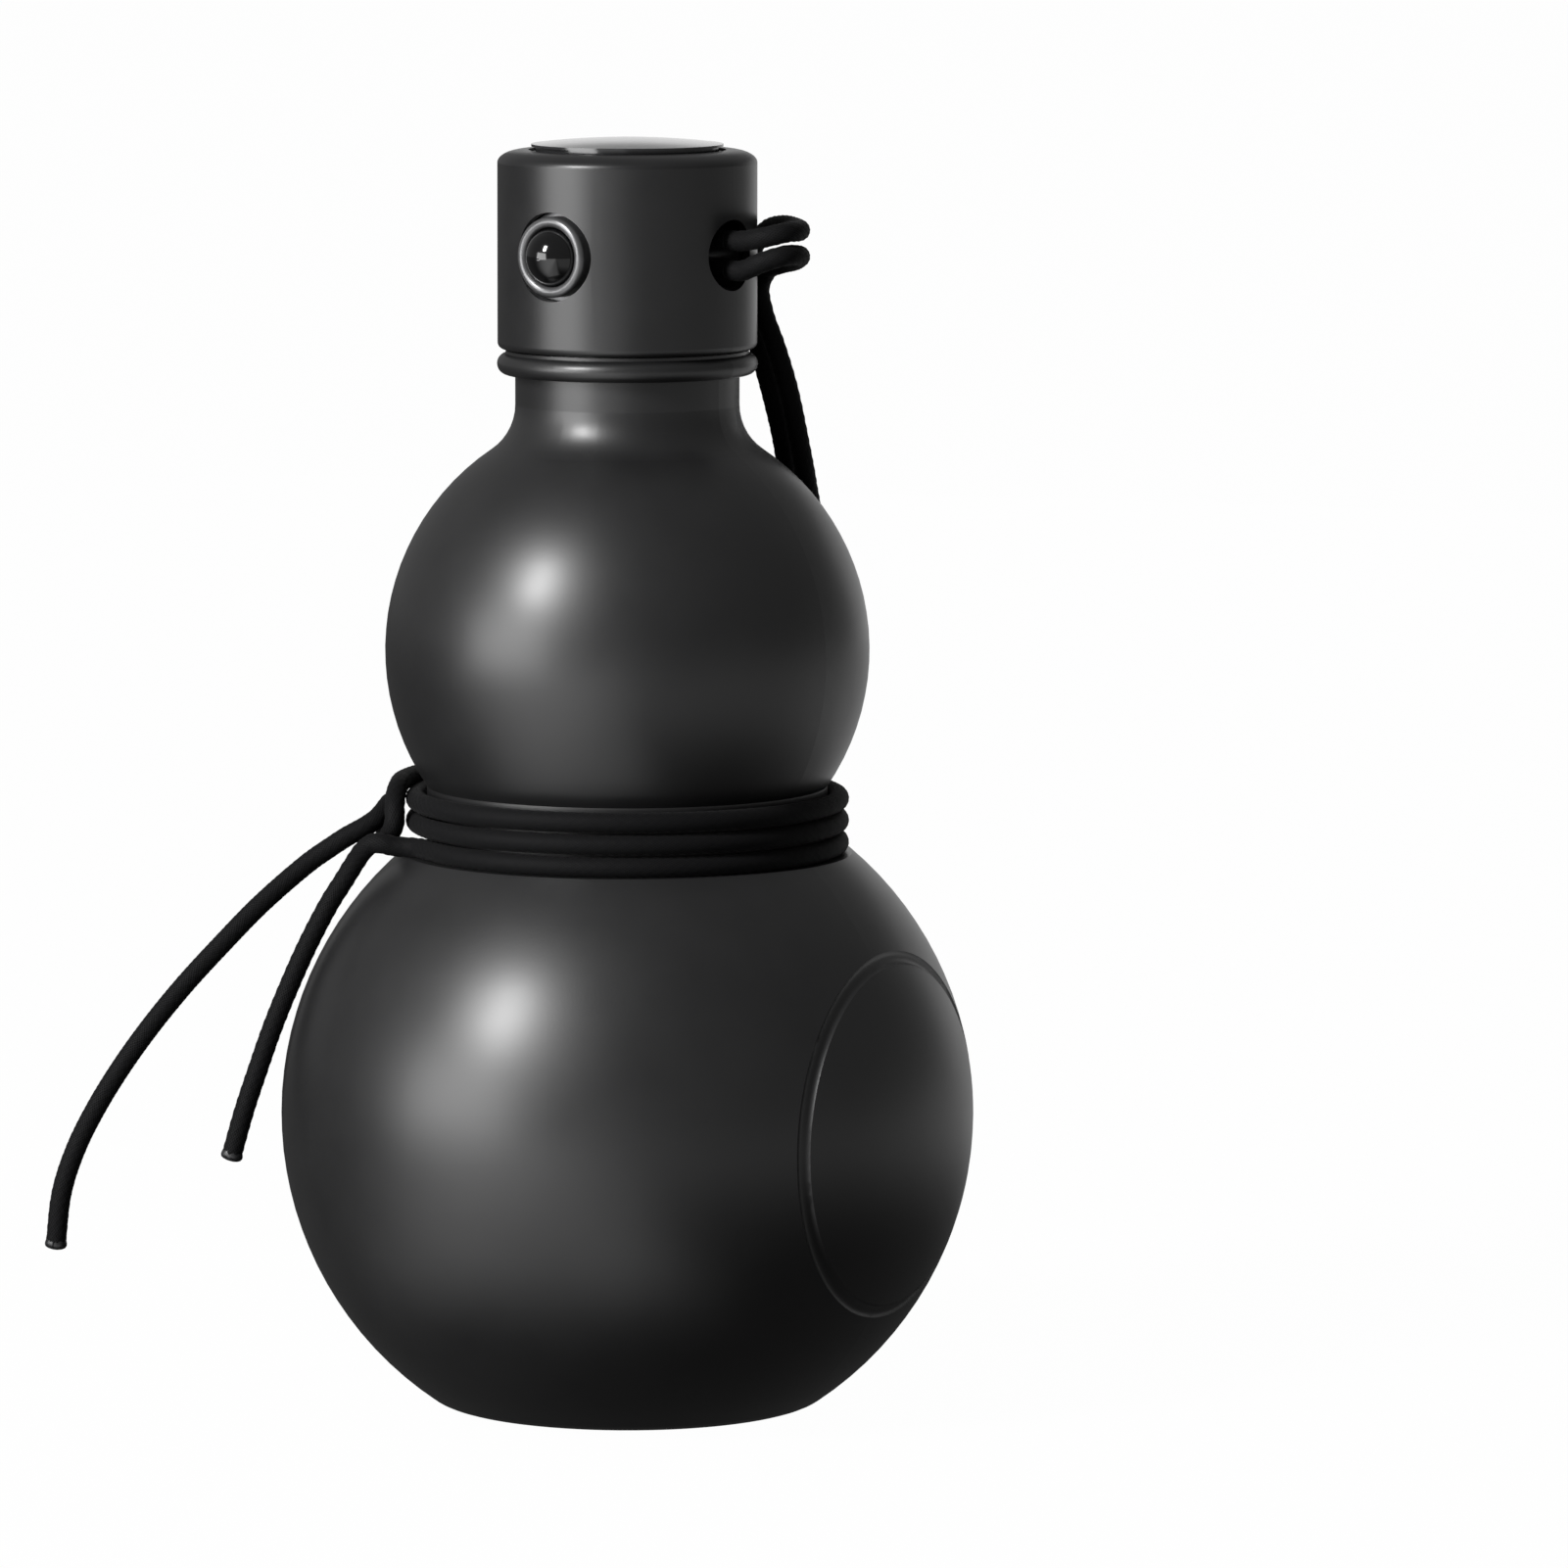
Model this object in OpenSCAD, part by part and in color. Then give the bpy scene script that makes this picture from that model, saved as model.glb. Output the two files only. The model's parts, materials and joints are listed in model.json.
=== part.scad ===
// Gourd water bottle: a double-walled steel bottle with two round bulbs, a screw cap with a
// push-button flip lid over a drinking spout, and a cord from the cap to the waist.
// Millimetres, Z up. The bottle stands on Z = 0 with its axis on the Z axis.
// The button faces -Y, the cord hole faces +X and the lid's hinge is at the back, +Y.

/* [Bottle] */
// Radius of the lower bulb
lower_r = 56.7; // [54:0.1:59]
// Height of the lower bulb's centre
lower_z = 48; // [46:0.1:50]
// Radius of the upper bulb
upper_r = 39.5; // [38.5:0.1:41]
// Height of the upper bulb's centre
upper_z = 124.2; // [122:0.1:126]
// Wall of the outer shell
shell_wall = 1; // [0.8:0.1:1.2]
// Wall of the inner liner
liner_wall = 0.8; // [0.6:0.1:1]
// Space between liner and shell in the bulbs
vacuum_gap = 2.4; // [1.5:0.1:3.5]
// Height of the shell's foot over the surface it stands on
foot_lift = 0.4; // [0.2:0.1:0.8]
// Radius of the foot's rounded edge
foot_edge = 6; // [4:0.5:8]
// Radius of the waist, at the bottom of the cord's channel
waist_r = 32.7; // [31:0.1:32.8]
// Lower edge of the cord's channel
channel_low = 91.1; // [90:0.1:91.1]
// Upper edge of the cord's channel
channel_high = 101.8; // [101.8:0.1:102.5]
// Mean radius of the ring pressed into the lower bulb
ring_r = 28.65; // [26:0.05:31]
// Width of the ring
ring_w = 2.5; // [2:0.1:3]
// Depth of the ring
ring_depth = 0.6; // [0.3:0.05:0.7]
// Angle from the cord hole round to the ring, where the closed cap stops on its thread
ring_turn = 6; // [0:1:20]

/* [Base] */
// Radius of the rubber foot pad
pad_r = 26; // [22:0.5:27]
// Thickness of the foot pad
pad_h = 1.4; // [1.2:0.1:1.6]
// Thickness of the base plate
plate_h = 0.8; // [0.6:0.1:1.2]
// Radius of the getter that keeps the vacuum
getter_r = 4; // [3:0.5:6]

/* [Neck] */
// Radius of the neck
neck_r = 18.25; // [18.1:0.05:18.6]
// Radius of the fillet from neck to bulb
neck_fillet = 9; // [6:0.5:11]
// Height of the bead's centre
bead_z = 171; // [170.5:0.1:171.3]
// Outer radius of the bead
bead_r = 21.2; // [20.8:0.1:21.6]
// Radius of the bead's own section
bead_tube = 1.75; // [1.5:0.05:1.9]
// Radius of the shoulder under the cap
shoulder_r = 19.8; // [19.4:0.1:20]
// Gap between the threaded mouth and the core round it
mouth_room = 1.35; // [1.3:0.05:1.5]
// Height of the mouth over the shoulder
mouth_h = 8; // [7.5:0.1:8.1]
// Rise of the thread in one turn
thread_pitch = 3.6; // [3.4:0.1:3.8]
// Height of the thread's ridge
thread_depth = 0.9; // [0.6:0.05:0.9]

/* [Cap] */
// Radius of the cap
cap_r = 21.1; // [20.6:0.1:22]
// Height of the cap
cap_h = 32.3; // [32.3:0.1:34]
// Gap between the cap and the shoulder under it
cap_gap = 0.2; // [0.1:0.05:0.4]
// Wall of the cap shell
cap_wall = 1.3; // [1.2:0.05:1.3]
// Height of the cap's rounded top edge
cap_edge = 2.1; // [1:0.1:2.3]
// Width of that edge, seen from above
cap_slope = 4.2; // [2:0.1:4.4]
// Radius of the cap's rounded bottom edge
cap_foot = 1.1; // [0.6:0.1:1.2]
// Thickness of the cap's top
cap_top = 3; // [2.6:0.1:3]
// Wall of the core that holds the cap's thread
core_wall = 1.4; // [1.3:0.05:1.45]
// Thickness of the core's deck
deck_h = 1.2; // [1:0.1:1.3]
// Thickness of the mouth seal
seal_h = 1.1; // [0.9:0.1:1.3]
// Height of the button and of the cord hole
button_z = 189.3; // [189.2:0.1:190.5]

/* [Spout] */
// Outer radius of the spout
spout_r = 7.4; // [7:0.1:7.8]
// Radius of the spout's bore
spout_bore = 5.3; // [4.8:0.1:5.8]
// Distance from the spout's rim to the lid over it
spout_room = 2; // [1.8:0.1:2.4]

/* [Lid] */
// Width of the cap's rim from the lid's edge outwards
lid_border = 5.4; // [5.3:0.1:6]
// Gap round the lid
lid_gap = 0.35; // [0.25:0.05:0.5]
// Thickness of the lid
lid_h = 2.1; // [1.8:0.1:2.2]
// Height of the dome over the cap's top
dome_h = 1.9; // [1.4:0.1:2.2]
// Height of the lid's edge over the cap's top
lid_proud = 0.95; // [0.7:0.05:1.1]
// Distance from the lid's edge to the middle of the hinge pin
hinge_out = 1.3; // [1.2:0.05:1.5]
// Radius of the hinge pin
hinge_pin_r = 0.75; // [0.6:0.05:0.8]
// Width of the hinge's notch in the cap
hinge_w = 9.2; // [8.6:0.1:10]

/* [Button] */
// Radius of the button
button_r = 4.65; // [4.5:0.05:4.8]
// Height of the button's dome
button_dome = 3.4; // [2.4:0.1:3.6]
// Outer radius of the ring round the button
bezel_r = 6.5; // [6.3:0.1:6.7]
// How far that ring stands out of the cap
bezel_out = 0.5; // [0.3:0.1:1]
// Radius of the hole in the cap for the ring
recess_r = 7.2; // [7.1:0.1:7.4]
// How far the button is pressed in
button_travel = 1.6; // [1.4:0.1:1.7]

/* [Cord] */
// Diameter of the cord
cord_d = 3.1; // [2.8:0.1:3.2]
// Radius of the cord hole in the cap
cord_hole_r = 5.75; // [5.4:0.05:5.8]
// Radius of the pin that the cord hangs on
cord_pin_r = 0.8; // [0.7:0.05:0.9]
// Distance between two turns round the waist
turn_pitch = 3.6; // [3.6:0.05:3.7]
// Height of the top turn
turn_top = 99.9; // [99.85:0.05:100.1]
// Angle round the bottle by which the cord's points are turned
cord_turn = 36; // [30:1:42]

/* [Hidden] */
$fn = 96;

// Clearances between pieces
fit = 0.05;
running = 0.1;
eps = 0.01;

// Heights up the neck and the cap
shoulder_z = bead_z + 2.2;
mouth_z = shoulder_z + mouth_h;
deck_z = mouth_z + fit + seal_h + fit;
deck_top = deck_z + deck_h;
cap_z = shoulder_z + cap_gap;
cap_top_z = cap_z + cap_h;
lid_z = cap_top_z - cap_top + 0.5;
core_z = cap_z + 0.6;
spout_top = lid_z - spout_room;
tray_z = lid_z - 6;
tray_h = 1.2;

// Radii in the cap
cap_in = cap_r - cap_wall;
core_r = cap_in - fit;
core_in = core_r - core_wall;
lid_r = cap_r - lid_border;
lid_hole = lid_r + lid_gap;
mouth_r = core_in - mouth_room;
mouth_in = mouth_r - liner_wall;
tray_r = lid_hole - 0.15;

// The tray's screws, with their bosses on the core and the spout's flange inside them
screw_angles = [50, 130, 230];
screw_r = tray_r - 3.7;
boss_r = 1.9;
screw_l = 5;
flange_r = min(spout_r + 1.6, screw_r - boss_r - 0.2);

// The hinge, the latch and the parts of the button
hinge_y = lid_r + hinge_out;
hinge_z = cap_top_z - 0.9;
knuckle_r = 1.25;
tab_y = 1.7 - lid_r;
tab_t = 1.2;
catch_in = 1.2;
catch_h = 1;
catch_z = lid_z - 3.6;
catch_w = 5.2;
nose_in = 0.5;
nose_h = 1.1;
nose_fit = 0.15;
latch_t = 1.2;
latch_y = tab_y + tab_t + catch_in + nose_fit + nose_in;
latch_w = 4.4;
guide_y = latch_y - 2.4;
guide_t = 1.2;
guide_w = 11;
stem_r = 1.6;
button_back = 4.1 - cap_r;
ring_inner = button_r + 0.15;
ring_tube = (bezel_r - ring_inner) / 2;
seat_y = cap_in - 1.2;
seat_t = 0.8;

// Where the cord's pin lies, and the half width between the blocks that hold it
cord_pin_x = cap_in - 3.6;
pin_half = 7.4;

// The bulbs' outline
foot_c = sqrt(pow(lower_r - foot_edge, 2) - pow(lower_z - foot_lift - foot_edge, 2));
foot_touch_z = lower_z - lower_r / (lower_r - foot_edge) * (lower_z - foot_lift - foot_edge);
fillet_r = neck_r + neck_fillet;
fillet_z = upper_z + sqrt(pow(upper_r + neck_fillet, 2) - pow(fillet_r, 2));
liner_inset = shell_wall + vacuum_gap;
liner_floor = 4.6;

// Half of the bottle's section, drawn in by an inset from its outer face
module section(inset) {
    touch = upper_r / (upper_r + neck_fillet);
    difference() {
        union() {
            intersection() {
                translate([0, lower_z])
                    circle(lower_r - inset);
                translate([0, foot_touch_z])
                    square([lower_r, lower_r * 2]);
            }
            translate([0, foot_lift + inset])
                square([foot_c, foot_touch_z - foot_lift - inset + 2]);
            intersection() {
                translate([foot_c, foot_lift + foot_edge])
                    circle(foot_edge - inset);
                square([lower_r, foot_lift + foot_edge]);
            }
            intersection() {
                translate([0, upper_z])
                    circle(upper_r - inset);
                translate([0, upper_z - upper_r])
                    square([upper_r, upper_r + fillet_z - upper_z]);
            }
            translate([0, lower_z])
                square([waist_r - inset, upper_z - lower_z]);
            difference() {
                polygon([
                    [0, upper_z],
                    [fillet_r * touch, upper_z + (fillet_z - upper_z) * touch],
                    [fillet_r, fillet_z],
                    [0, fillet_z]
                ]);
                translate([fillet_r, fillet_z])
                    circle(neck_fillet + inset);
            }
        }
        translate([waist_r - inset, channel_low - inset])
            square([lower_r, channel_high - channel_low + 2 * inset]);
    }
}

// A ring or disc of revolution between two radii
module ring_part(inner, outer, z, h) {
    translate([0, 0, z])
        difference() {
            cylinder(h = h, r = outer);
            if (inner > 0)
                translate([0, 0, -1])
                    cylinder(h = h + 2, r = inner);
        }
}

// A helical ridge. Its root lies at one radius and its crest at another.
thread_steps = 36;
thread_turns = 1.25;
thread_z = shoulder_z + 1.6;
function thread_ring(a, z, root, crest) = [
    [root * cos(a), root * sin(a), z - 0.75],
    [crest * cos(a), crest * sin(a), z - 0.35],
    [crest * cos(a), crest * sin(a), z + 0.35],
    [root * cos(a), root * sin(a), z + 0.75]
];
module thread(root, crest, z, from, to) {
    count = floor((to - from) / 360 * thread_steps);
    rings = [
        for (i = [0:count])
            let (a = from + (to - from) * i / count)
            thread_ring(a, z + thread_pitch * a / 360, root, crest)
    ];
    tube_solid(rings, 4, crest > root);
}

// A closed solid through rings of points, each with as many points as there are sides
module tube_solid(rings, sides, flip = false) {
    points = [for (r = rings) each r];
    last = (len(rings) - 1) * sides;
    walls = [
        for (i = [0:len(rings) - 2], k = [0:sides - 1])
            let (a = i * sides + k, b = i * sides + (k + 1) % sides)
            each [[a, a + sides, b + sides], [a, b + sides, b]]
    ];
    first_cap = [for (k = [1:sides - 2]) [0, k, k + 1]];
    last_cap = [for (k = [1:sides - 2]) [last, last + k + 1, last + k]];
    faces = concat(walls, first_cap, last_cap);
    turned = [for (f = faces) [f[0], f[2], f[1]]];
    polyhedron(points = points, faces = flip ? turned : faces, convexity = 6);
}

// A tube along a line of points
function unit(v) = v / norm(v);
function square_to(n, t) = unit(n - t * (n * t));
function headings(p) = [
    for (i = [0:len(p) - 1])
        unit(p[min(i + 1, len(p) - 1)] - p[max(i - 1, 0)])
];
function carried(t, n, i = 0) =
    i == len(t) ? [] : let (m = square_to(n, t[i])) concat([m], carried(t, m, i + 1));
function tube_rings(p, r, sides, n) =
    let (t = headings(p), side = carried(t, n)) [
        for (i = [0:len(p) - 1]) [
            for (k = [0:sides - 1])
                let (a = 360 * (k + 0.5) / sides)
                p[i] + r * (cos(a) * side[i] + sin(a) * cross(t[i], side[i]))
        ]
    ];
module tube(p, r, sides = 8, n = [0.3, 0.2, 1]) {
    tube_solid(tube_rings(p, r, sides, n), sides, true);
}

module outer_shell() {
    color("#2b2b2d")
    difference() {
        union() {
            rotate_extrude()
                difference() {
                    section(0);
                    section(shell_wall);
                }
            ring_part(neck_r - shell_wall, neck_r, fillet_z - eps, bead_z - fillet_z + eps);
            neck_top();
        }
        translate([0, 0, foot_lift - 1])
            cylinder(h = shell_wall + 2, r = pad_r + running);
        rotate([0, 0, ring_turn])
            pressed_ring();
    }
}

// The bead and the shoulder that the cap comes down to
module neck_top() {
    rotate_extrude()
        difference() {
            union() {
                translate([bead_r - bead_tube, bead_z])
                    circle(bead_tube);
                translate([neck_r - shell_wall, bead_z - bead_tube / 2])
                    square([bead_r - bead_tube - neck_r + shell_wall, bead_tube]);
                translate([mouth_r + fit, bead_z])
                    square([shoulder_r - mouth_r - fit, shoulder_z - bead_z]);
            }
            translate([0, bead_z - 5])
                square([neck_r - shell_wall, 5 + shoulder_z - bead_z - shell_wall]);
        }
}

module pressed_ring() {
    out = sqrt(lower_r * lower_r - ring_r * ring_r);
    groove = (ring_w * ring_w / 4 + ring_depth * ring_depth) / (2 * ring_depth);
    lift = groove - ring_depth;
    translate([out * (1 + lift / lower_r), 0, lower_z])
        rotate([0, 90, 0])
            rotate_extrude()
                translate([ring_r * (1 + lift / lower_r), 0])
                    circle(groove);
}

module inner_liner() {
    color("#b9bcc0")
    union() {
        rotate_extrude()
            difference() {
                liner_area(liner_inset, liner_floor, mouth_r, mouth_z);
                liner_area(liner_inset + liner_wall, liner_floor + liner_wall, mouth_in, mouth_z + 1);
            }
        thread(mouth_r - 0.3, mouth_r + thread_depth, thread_z, 0, 360 * thread_turns);
    }
}

// Half of the section inside the liner's outer or inner face, up to the mouth
module liner_area(inset, floor_z, neck, top) {
    intersection() {
        section(inset);
        translate([0, floor_z])
            square([lower_r, fillet_z - floor_z]);
    }
    translate([0, upper_z])
        square([neck, top - upper_z]);
}

module base_plate() {
    color("#8d9094")
    ring_part(1.5 + fit, pad_r + 1.2, foot_lift + shell_wall + fit, plate_h);
}

module foot_pad() {
    color("#1b1b1c")
    ring_part(0, pad_r, 0, pad_h);
}

module vacuum_getter() {
    color("#6d6f72")
    ring_part(0, getter_r, liner_floor - 1.2, 1.2);
}

module vacuum_plug() {
    color("#c9a24a")
    ring_part(0, 1.5, foot_lift + shell_wall + 2 * fit, plate_h + 0.3);
}

module mouth_seal() {
    color("#d9d9d6")
    ring_part(mouth_in - 0.6, mouth_r + 0.6, mouth_z + fit, seal_h);
}

module cap_shell() {
    color("#2e2e30")
    difference() {
        rotate_extrude()
            difference() {
                cap_outline();
                translate([0, cap_z - 1])
                    square([cap_in, cap_h + 1 - cap_top]);
                translate([0, cap_z])
                    square([lid_hole, cap_h + 1]);
            }
        on_button_axis()
            cylinder(h = 2 * cap_r, r = recess_r);
        translate([0, 0, button_z])
            rotate([0, 90, 0])
                cylinder(h = 2 * cap_r, r = cord_hole_r);
        translate([-hinge_w / 2, lid_r - 0.8, cap_top_z - cap_top - 1])
            cube([hinge_w, hinge_y + 2.2 - lid_r + 0.8, cap_top + 2]);
        translate([-hinge_w / 2 - 1.2, hinge_y, hinge_z])
            rotate([0, 90, 0])
                cylinder(h = hinge_w + 2.4, r = hinge_pin_r + 0.02);
    }
}

module cap_outline() {
    translate([0, cap_z])
        square([cap_r - cap_foot, cap_foot + 1]);
    translate([cap_r - cap_foot, cap_z + cap_foot])
        circle(cap_foot);
    translate([0, cap_z + cap_foot])
        square([cap_r, cap_h - cap_foot - cap_edge]);
    translate([0, cap_top_z - cap_edge - 1])
        square([cap_r - cap_slope, cap_edge + 1]);
    intersection() {
        translate([cap_r - cap_slope, cap_top_z - cap_edge])
            scale([cap_slope, cap_edge])
                circle(1);
        translate([0, cap_top_z - cap_edge])
            square([cap_r, cap_edge]);
    }
}

module cap_core() {
    color("#3a3a3c")
    difference() {
        union() {
            ring_part(core_in, core_r, core_z, deck_top - core_z);
            ring_part(spout_bore, core_in + 0.5, deck_z, deck_h);
            thread(core_in + 0.3, mouth_r + 0.35, thread_z + thread_pitch / 2, -90, 360);
            for (side = [-1, 1])
                translate([cord_pin_x - 1.6, side * (pin_half - 0.9) - 0.9, deck_top - eps])
                    cube([3.2, 1.8, button_z + 1.7 - deck_top]);
            for (a = screw_angles)
                rotate([0, 0, a])
                    translate([screw_r, 0, deck_top - eps])
                        cylinder(h = tray_z - deck_top + eps - fit, r = boss_r);
        }
        translate([cord_pin_x, pin_half + 1, button_z])
            rotate([90, 0, 0])
                cylinder(h = 2 * pin_half + 2, r = cord_pin_r + 0.02);
        on_button_axis()
            translate([0, 0, seat_y - seat_t - fit])
                cylinder(h = cap_r, r = recess_r);
        for (a = screw_angles)
            rotate([0, 0, a])
                translate([screw_r, 0, tray_z - screw_l - 1.5])
                    cylinder(h = screw_l + 3, r = 0.8);
    }
}

module spout() {
    color("#3f3f42")
    difference() {
        union() {
            ring_part(0, spout_r, deck_top + fit, spout_top - deck_top - fit);
            ring_part(0, flange_r, deck_top + fit, 1.2);
        }
        translate([0, 0, deck_top - 1])
            cylinder(h = spout_top, r = spout_bore);
    }
}

module spout_seal() {
    color("#d9d9d6")
    ring_part(spout_bore - 0.8, spout_bore - fit, deck_z - 0.4, deck_h + 2);
}

module cap_tray() {
    color("#343437")
    difference() {
        union() {
            ring_part(spout_r + running, tray_r, tray_z, tray_h);
            ring_part(tray_r - 1, tray_r, tray_z, cap_top_z - cap_top - tray_z - fit);
        }
        translate([-latch_w / 2 - 0.4, latch_y - 1.2, tray_z - 1])
            cube([latch_w + 0.8, 1.5 + latch_t + button_travel, tray_h + 2]);
        for (a = screw_angles)
            rotate([0, 0, a])
                translate([screw_r, 0, tray_z - 1])
                    cylinder(h = tray_h + 2, r = 1.1);
        translate([-hinge_w / 2, lid_r - 2.5, hinge_z - 2])
            cube([hinge_w, hinge_y, cap_top + 2]);
    }
}

module tray_screws() {
    color("#9a9da1")
    for (a = screw_angles)
        rotate([0, 0, a])
            translate([screw_r, 0, 0])
                difference() {
                    union() {
                        ring_part(0, 1.7, tray_z + tray_h + fit, 1.1);
                        ring_part(0, 0.75, tray_z - screw_l, tray_h + screw_l + 0.5);
                    }
                    ring_part(0, 0.6, tray_z + tray_h + 0.6, 1.1, $fn = 6);
                }
}

module flip_lid() {
    color("#333336")
    difference() {
        union() {
            ring_part(0, lid_r, lid_z, lid_h);
            for (side = [-1, 1]) {
                translate([side * 3.05 - 1.25, hinge_y, hinge_z])
                    rotate([0, 90, 0])
                        cylinder(h = 2.5, r = knuckle_r);
                translate([side * 3.05 - 1.25, lid_r - 2.4, lid_z + 0.3])
                    cube([2.5, hinge_y - lid_r + 2.4, hinge_z + knuckle_r - lid_z - 0.6]);
            }
            translate([-catch_w / 2, tab_y, catch_z])
                cube([catch_w, tab_t, lid_z - catch_z + eps]);
            translate([-catch_w / 2, tab_y, catch_z])
                cube([catch_w, tab_t + catch_in, catch_h]);
        }
        translate([-hinge_w, hinge_y, hinge_z])
            rotate([0, 90, 0])
                cylinder(h = 2 * hinge_w, r = hinge_pin_r + fit);
    }
}

module lid_disc() {
    low = lid_z + lid_h + fit;
    disc_r = lid_r - 0.1;
    rise = dome_h - lid_proud;
    ball = (disc_r * disc_r + rise * rise) / (2 * rise);
    rim = 0.4;
    color("#3b3b3e")
    difference() {
        intersection() {
            union() {
                translate([0, 0, low])
                    cylinder(h = cap_top, r = disc_r - 0.7);
                translate([0, 0, cap_top_z + lid_proud - rim])
                    cylinder(h = cap_top, r = disc_r);
            }
            translate([0, 0, cap_top_z + dome_h - ball])
                sphere(ball, $fn = 360);
        }
        translate([-hinge_w / 2 + 0.2, lid_r - 2.6, low - 1])
            cube([hinge_w - 0.4, 4, cap_top + 3]);
    }
}

module lid_plug() {
    color("#d9d9d6")
    union() {
        ring_part(0, spout_r - 0.4, spout_top + running, lid_z - fit - spout_top - running);
        translate([0, 0, spout_top - 1.8])
            cylinder(h = 1.8 + running + eps, r1 = spout_bore - 1, r2 = spout_bore - 0.45);
    }
}

module lid_hinge_pin() {
    color("#b5b8bc")
    translate([-hinge_w / 2 - 1.1, hinge_y, hinge_z])
        rotate([0, 90, 0])
            cylinder(h = hinge_w + 2.2, r = hinge_pin_r);
}

module lid_spring() {
    color("#b5b8bc")
    translate([-1.6, hinge_y, hinge_z])
        rotate([0, 90, 0])
            difference() {
                cylinder(h = 3.2, r = knuckle_r - 0.05);
                translate([0, 0, -1])
                    cylinder(h = 6, r = hinge_pin_r + 0.12);
            }
}

// Turns a shape of revolution to face -Y at the button's height
module on_button_axis() {
    translate([0, 0, button_z])
        rotate([90, 0, 0])
            children();
}

// The ring round the button: a rounded front, a sleeve and a flange that seats in the cap
module button_bezel() {
    crest = cap_r + bezel_out - ring_tube;
    color("#5a5b5e")
    on_button_axis()
        rotate_extrude()
            union() {
                translate([ring_inner, seat_y - seat_t])
                    square([recess_r - fit - ring_inner, seat_t]);
                translate([ring_inner, seat_y - seat_t])
                    square([2 * ring_tube, crest - seat_y + seat_t]);
                translate([ring_inner + ring_tube, crest])
                    circle(ring_tube);
            }
}

module push_button() {
    face = cap_r - 0.12;
    ball = (button_r * button_r + button_dome * button_dome) / (2 * button_dome);
    color("#0c0c0d")
    union() {
        on_button_axis()
            rotate_extrude()
                union() {
                    translate([0, -button_back])
                        square([button_r, face + button_back]);
                    intersection() {
                        translate([0, face + button_dome - ball])
                            circle(ball);
                        translate([0, face - eps])
                            square([button_r, button_dome + 1]);
                    }
                }
        on_button_axis()
            translate([0, 0, -latch_y + fit])
                cylinder(h = latch_y - button_back + eps, r = stem_r);
    }
}

module button_spring() {
    color("#b5b8bc")
    on_button_axis()
        difference() {
            translate([0, 0, -guide_y + fit + guide_t])
                cylinder(h = guide_y - button_back - 2 * fit - guide_t, r = 2.9);
            cylinder(h = cap_r, r = 2.2);
        }
}

module button_guide() {
    color("#343437")
    difference() {
        translate([-guide_w / 2, guide_y - guide_t, deck_top + fit])
            cube([guide_w, guide_t, button_z + 4.5 - deck_top]);
        on_button_axis()
            cylinder(h = cap_r, r = stem_r + running);
    }
}

module latch_bar() {
    low = button_z - 3;
    high = catch_z + catch_h + 0.25 + nose_h;
    color("#8d9094")
    union() {
        translate([-latch_w / 2, latch_y, low])
            cube([latch_w, latch_t, high - low]);
        translate([-latch_w / 2, latch_y - nose_in, high - nose_h])
            cube([latch_w, nose_in + eps, nose_h]);
    }
}

module cord_pin() {
    color("#2c2c2e")
    translate([cord_pin_x, pin_half, button_z])
        rotate([90, 0, 0])
            cylinder(h = 2 * pin_half, r = cord_pin_r);
}

// The cord: its radius, the doubled end round the pin and where the two strands leave it
cord_r = cord_d / 2;
bight_r = cord_pin_r + cord_r + fit;
bight_x = cap_r - 0.7;
back_z = 102;
leave_u = bight_x * cos(cord_turn) + 0.1;
leave_w = -bight_x * sin(cord_turn) - 0.1;
hang_low = button_z - bight_r;
hang_high = button_z + bight_r;

// Points of the cord: to the right, away from the cord's front, and up
outer_points = [
    [leave_u, leave_w, hang_low], [18.4, -13.4, 186.9], [21.9, -15.8, 188.5],
    [25.4, -15.8, 189.5],
    [27.7, -11.5, 189.2], [27.1, -4.5, 188], [25, 2.5, 187], [22.8, 7.6, 185.6],
    [21.6, 10.4, 182.4], [22.4, 11, 178], [24.2, 10.8, 173], [26.3, 10.8, 166],
    [28.2, 11.8, 157], [29.5, 15, 150], [30.5, 22, 142], [28.5, 30, 132], [25.4, 33, 120],
    [22.6, 31.6, 109], [21.3, 29.8, 103.4], [24.4, 25.2, 101], [28, 20.3, turn_top]
];
inner_points = [
    [leave_u, leave_w, hang_high], [18.4, -13.4, 191.7], [21.9, -15.8, 192.4],
    [25.4, -15.8, 193.2],
    [27.7, -11.5, 193.2], [27.1, -4.5, 193.3], [25.2, 3, 193.2], [22.8, 9.5, 192],
    [20.4, 14, 188.4], [19.6, 15.8, 183], [20.3, 16, 177], [22, 15.6, 171],
    [23.9, 15.2, 164], [25.5, 16.2, 157], [26.6, 20, 149], [27, 27, 141], [24.5, 33.6, 131],
    [21.5, 36, 120], [18.8, 34.6, 109], [16.4, 33.5, back_z]
];
knot_points = [
    [-36.96, 5.05, back_z], [-37.3, 1.2, 101.8], [-37.7, -2.4, 101], [-37.9, -5.2, 99.1],
    [-37.9, -6.3, 96.6], [-38.6, -4.8, 94.6], [-39.4, -1.6, 93.5], [-39.5, 1.8, 94.4],
    [-39.1, 3.4, 96.9], [-38.7, 2, 98.8], [-39.3, -0.6, 98.4], [-40.7, -2.5, 96.9]
];
tail_long_points = [
    [-40.7, -2.5, 96.9], [-42.6, -3.2, 95.6], [-45.7, -3.4, 93.9], [-48.9, -3.4, 91.8],
    [-51.9, -3.6, 89.7], [-59.6, -5.6, 83.2], [-66, -7.6, 76.8], [-72, -9.2, 70.4],
    [-77.5, -10.8, 63.8], [-82.3, -12, 57.2], [-86.4, -13, 50.6], [-89.7, -13.5, 44],
    [-92, -14, 37], [-93.1, -14, 28]
];
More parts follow.
